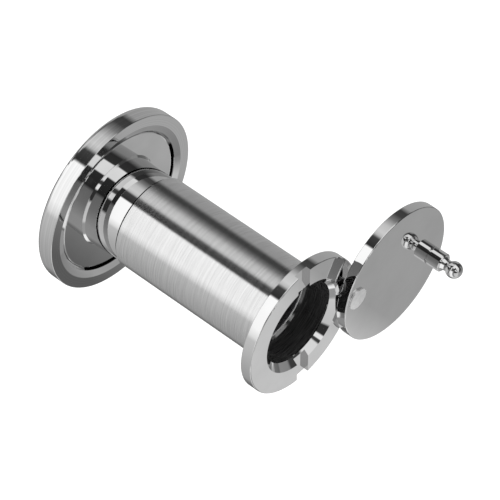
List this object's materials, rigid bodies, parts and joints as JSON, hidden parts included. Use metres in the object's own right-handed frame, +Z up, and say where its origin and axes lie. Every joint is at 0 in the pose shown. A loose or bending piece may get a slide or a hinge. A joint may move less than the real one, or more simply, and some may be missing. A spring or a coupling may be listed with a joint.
{
  "type": "door viewer",
  "caption": "Round barrel door viewer with a domed outer flange, a screw-adjusted sleeve, and a slotted inner flange whose pivoting cover shuts the eyepiece.",
  "frame": {"origin": "on the barrel's axis, in the plane where the outer flange bears on the door", "axes": "+Y along the barrel towards the street, -Y into the room, +Z up, the cover's pivot on +X"},
  "size_m": [0.0468, 0.0526, 0.0314],
  "materials": {
    "polished_nickel": "polished nickel plate",
    "brushed_nickel": "brushed around the barrel",
    "spring_steel": "satin spring steel",
    "black_finish": "matt black",
    "lens_glass": "clear polished glass",
    "gasket_rubber": "matt"
  },
  "bodies": {
    "outer_half": {"outer_bezel": "polished_nickel", "backing_disc": "polished_nickel", "lens_tube": "polished_nickel", "front_lens": "lens_glass", "front_lens_gasket": "gasket_rubber", "second_lens": "lens_glass", "front_spacer": "black_finish", "third_lens": "lens_glass", "middle_spacer": "black_finish", "field_stop": "black_finish", "eyepiece_lens": "lens_glass", "eyepiece_spacer": "black_finish", "retaining_ring": "black_finish"},
    "sleeve_carrier": {"sleeve_liner": "black_finish"},
    "sleeve": {"barrel_sleeve": "brushed_nickel", "inner_flange": "polished_nickel", "pivot_rivet": "polished_nickel", "spring_washer": "spring_steel"},
    "cover": {"cover_disc": "polished_nickel", "cover_knob": "polished_nickel"}
  },
  "joints": [
    {"name": "sleeve_travel", "type": "slide", "parent": "outer_half", "child": "sleeve_carrier", "axis": [0, -1, 0], "range_m": [0, 0.02]},
    {"name": "sleeve_turn", "type": "hinge", "parent": "sleeve_carrier", "child": "sleeve", "pos_m": [0, 0, 0], "axis": [0, -1, 0], "range_deg": [0, 7200]},
    {"name": "cover_swing", "type": "hinge", "parent": "sleeve", "child": "cover", "pos_m": [0.00968, -0.0398, 0], "axis": [0, -1, 0], "range_deg": [-165.8, 194.2]}
  ],
  "couplings": [
    {"joint": "sleeve_travel", "follows": "sleeve_turn", "m_per_rad": 0.00015915}
  ]
}
